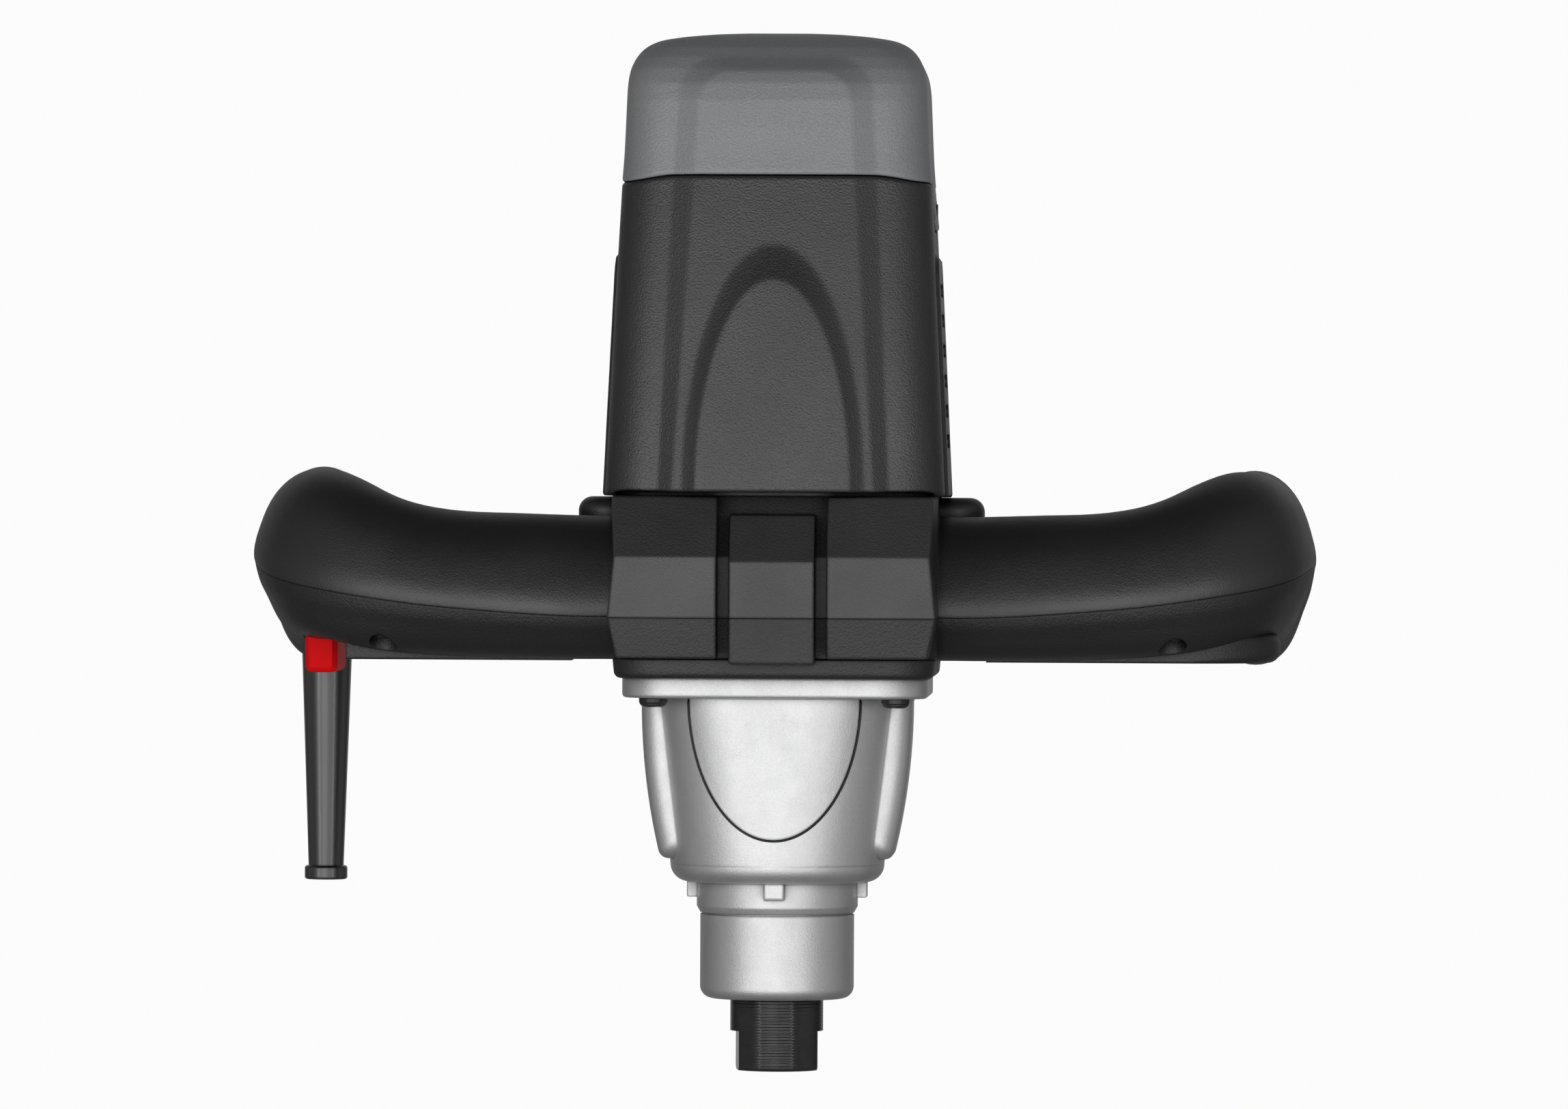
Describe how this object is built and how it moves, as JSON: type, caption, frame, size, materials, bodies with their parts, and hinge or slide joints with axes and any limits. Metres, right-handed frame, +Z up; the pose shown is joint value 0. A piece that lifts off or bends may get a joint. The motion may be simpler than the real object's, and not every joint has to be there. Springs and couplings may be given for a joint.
{
  "type": "mixing drill",
  "caption": "Hand-held mixing drill with two side grips: motor housing on top, clamshell handle, cast gear housing with a clamping collar and a threaded spindle pointing down.",
  "frame": {"origin": "centre of the spindle's nose face, where a mixing paddle screws in", "axes": "+Z up along the spindle axis towards the motor, -Y the front of the tool, +X to the right in the front view; the trigger is in the -X grip"},
  "size_m": [0.3026, 0.1462, 0.2895],
  "materials": {
    "cast_aluminium": "sand-cast, satin",
    "black_plastic": "fine spark grain",
    "housing_plastic": "fine spark grain",
    "grey_plastic": "fine spark grain",
    "red_plastic": "smooth",
    "black_rubber": "semi-gloss",
    "black_steel": "turned and blackened",
    "bright_steel": "ground",
    "lamination_steel": "stacked sheets",
    "copper": "enamelled wire",
    "brass": "stamped",
    "carbon": "pressed"
  },
  "bodies": {
    "tool": {"gear_housing": "cast_aluminium", "gear_housing_screws": "black_steel", "bearing_plate": "cast_aluminium", "spindle_lower_bearing": "bright_steel", "spindle_upper_bearing": "bright_steel", "intermediate_lower_bearing": "bright_steel", "intermediate_upper_bearing": "bright_steel", "armature_lower_bearing": "bright_steel", "armature_upper_bearing": "bright_steel", "spindle_seal": "black_rubber", "bearing_spacer": "bright_steel", "handle_upper_shell": "black_plastic", "handle_lower_shell": "black_plastic", "handle_screws": "black_steel", "switch_module": "housing_plastic", "strain_relief": "black_rubber", "cable_clamp": "housing_plastic", "cable_clamp_screws": "bright_steel", "motor_housing": "housing_plastic", "top_cap": "grey_plastic", "cap_screws": "black_steel", "air_baffle": "housing_plastic", "stator_core": "lamination_steel", "stator_winding": "copper", "brush_bridge": "housing_plastic", "bearing_bush": "black_rubber", "brush_holders": "brass", "carbon_brushes": "carbon", "bridge_screws": "bright_steel"},
    "spindle_group": {"spindle": "black_steel", "spindle_key": "bright_steel", "spindle_gear": "bright_steel", "spindle_circlip": "bright_steel"},
    "intermediate_group": {"intermediate_shaft": "bright_steel", "intermediate_gear": "bright_steel"},
    "armature_group": {"armature_shaft": "bright_steel", "armature_core": "lamination_steel", "armature_winding": "copper", "commutator": "copper", "cooling_fan": "housing_plastic"},
    "trigger_group": {"trigger": "red_plastic"},
    "lock_button_group": {"lock_button": "housing_plastic"}
  },
  "joints": [
    {"name": "armature_spin", "type": "hinge", "parent": "tool", "child": "armature_group", "pos_m": [0, 0, 0.19], "axis": [0, 0, 1], "continuous": true},
    {"name": "intermediate_spin", "type": "hinge", "parent": "tool", "child": "intermediate_group", "pos_m": [0, 0.021, 0.075], "axis": [0, 0, 1], "continuous": true},
    {"name": "spindle_spin", "type": "hinge", "parent": "tool", "child": "spindle_group", "pos_m": [0, 0, 0.04], "axis": [0, 0, 1], "continuous": true},
    {"name": "trigger_pull", "type": "slide", "parent": "tool", "child": "trigger_group", "axis": [0, 0, 1], "range_m": [0, 0.004], "stiffness_N_per_m": 1500, "springref_m": -0.002},
    {"name": "lock_press", "type": "slide", "parent": "tool", "child": "lock_button_group", "axis": [-1, 0, 0], "range_m": [0, 0.0025], "stiffness_N_per_m": 1200, "springref_m": -0.0012}
  ],
  "couplings": [
    {"joint": "intermediate_spin", "follows": "armature_spin", "ratio": -0.2},
    {"joint": "spindle_spin", "follows": "armature_spin", "ratio": 0.05}
  ]
}
